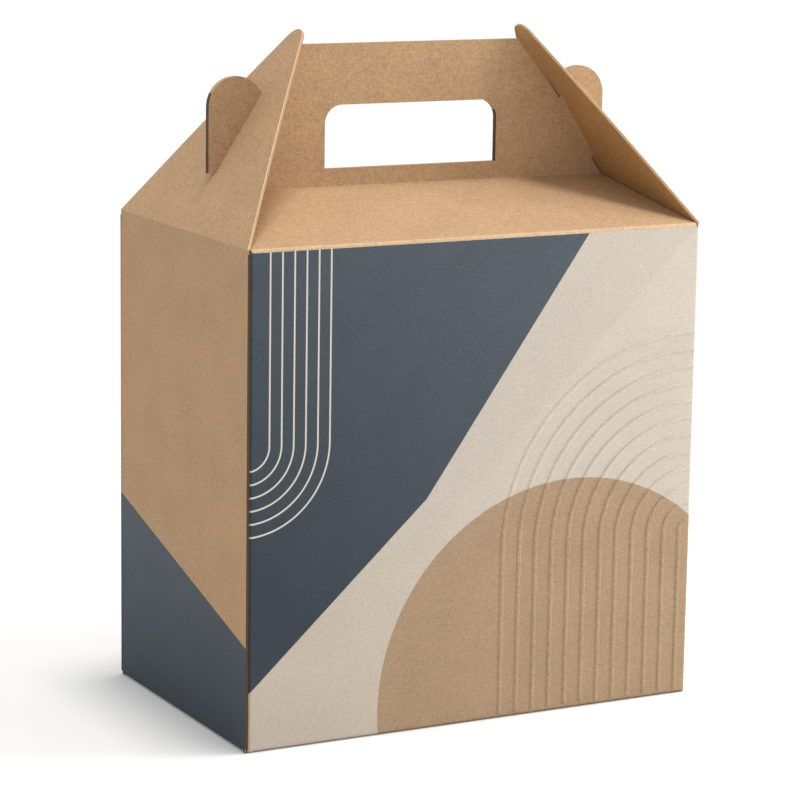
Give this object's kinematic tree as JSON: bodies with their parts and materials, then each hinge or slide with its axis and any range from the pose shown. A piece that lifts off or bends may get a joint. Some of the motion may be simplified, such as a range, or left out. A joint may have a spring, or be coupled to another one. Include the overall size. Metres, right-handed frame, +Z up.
{
  "type": "gable carry box",
  "caption": "Gable-top carry box folded from kraft board, with a double handle panel, hand hole and two hinged gable flaps hooked over the handle's ears.",
  "frame": {"origin": "centre of the base, on the surface the box stands on", "axes": "+Z up, +X to the right along the box's length, -Y out of the printed front"},
  "size_m": [0.23, 0.14, 0.3118],
  "materials": {
    "kraft_board": "uncoated kraft liner, matt, with matt flood-printed colour fields and blind embossed lines on the front"
  },
  "bodies": {
    "carton": {"carton": "kraft_board"},
    "left_gable_flap": {"left_gable_flap": "kraft_board"},
    "right_gable_flap": {"right_gable_flap": "kraft_board"}
  },
  "joints": [
    {"name": "left_flap_crease", "type": "hinge", "parent": "carton", "child": "left_gable_flap", "pos_m": [-0.115, 0, 0.224], "axis": [0, -1, 0], "range_deg": [0, 170]},
    {"name": "right_flap_crease", "type": "hinge", "parent": "carton", "child": "right_gable_flap", "pos_m": [0.115, 0, 0.224], "axis": [0, 1, 0], "range_deg": [0, 170]}
  ]
}
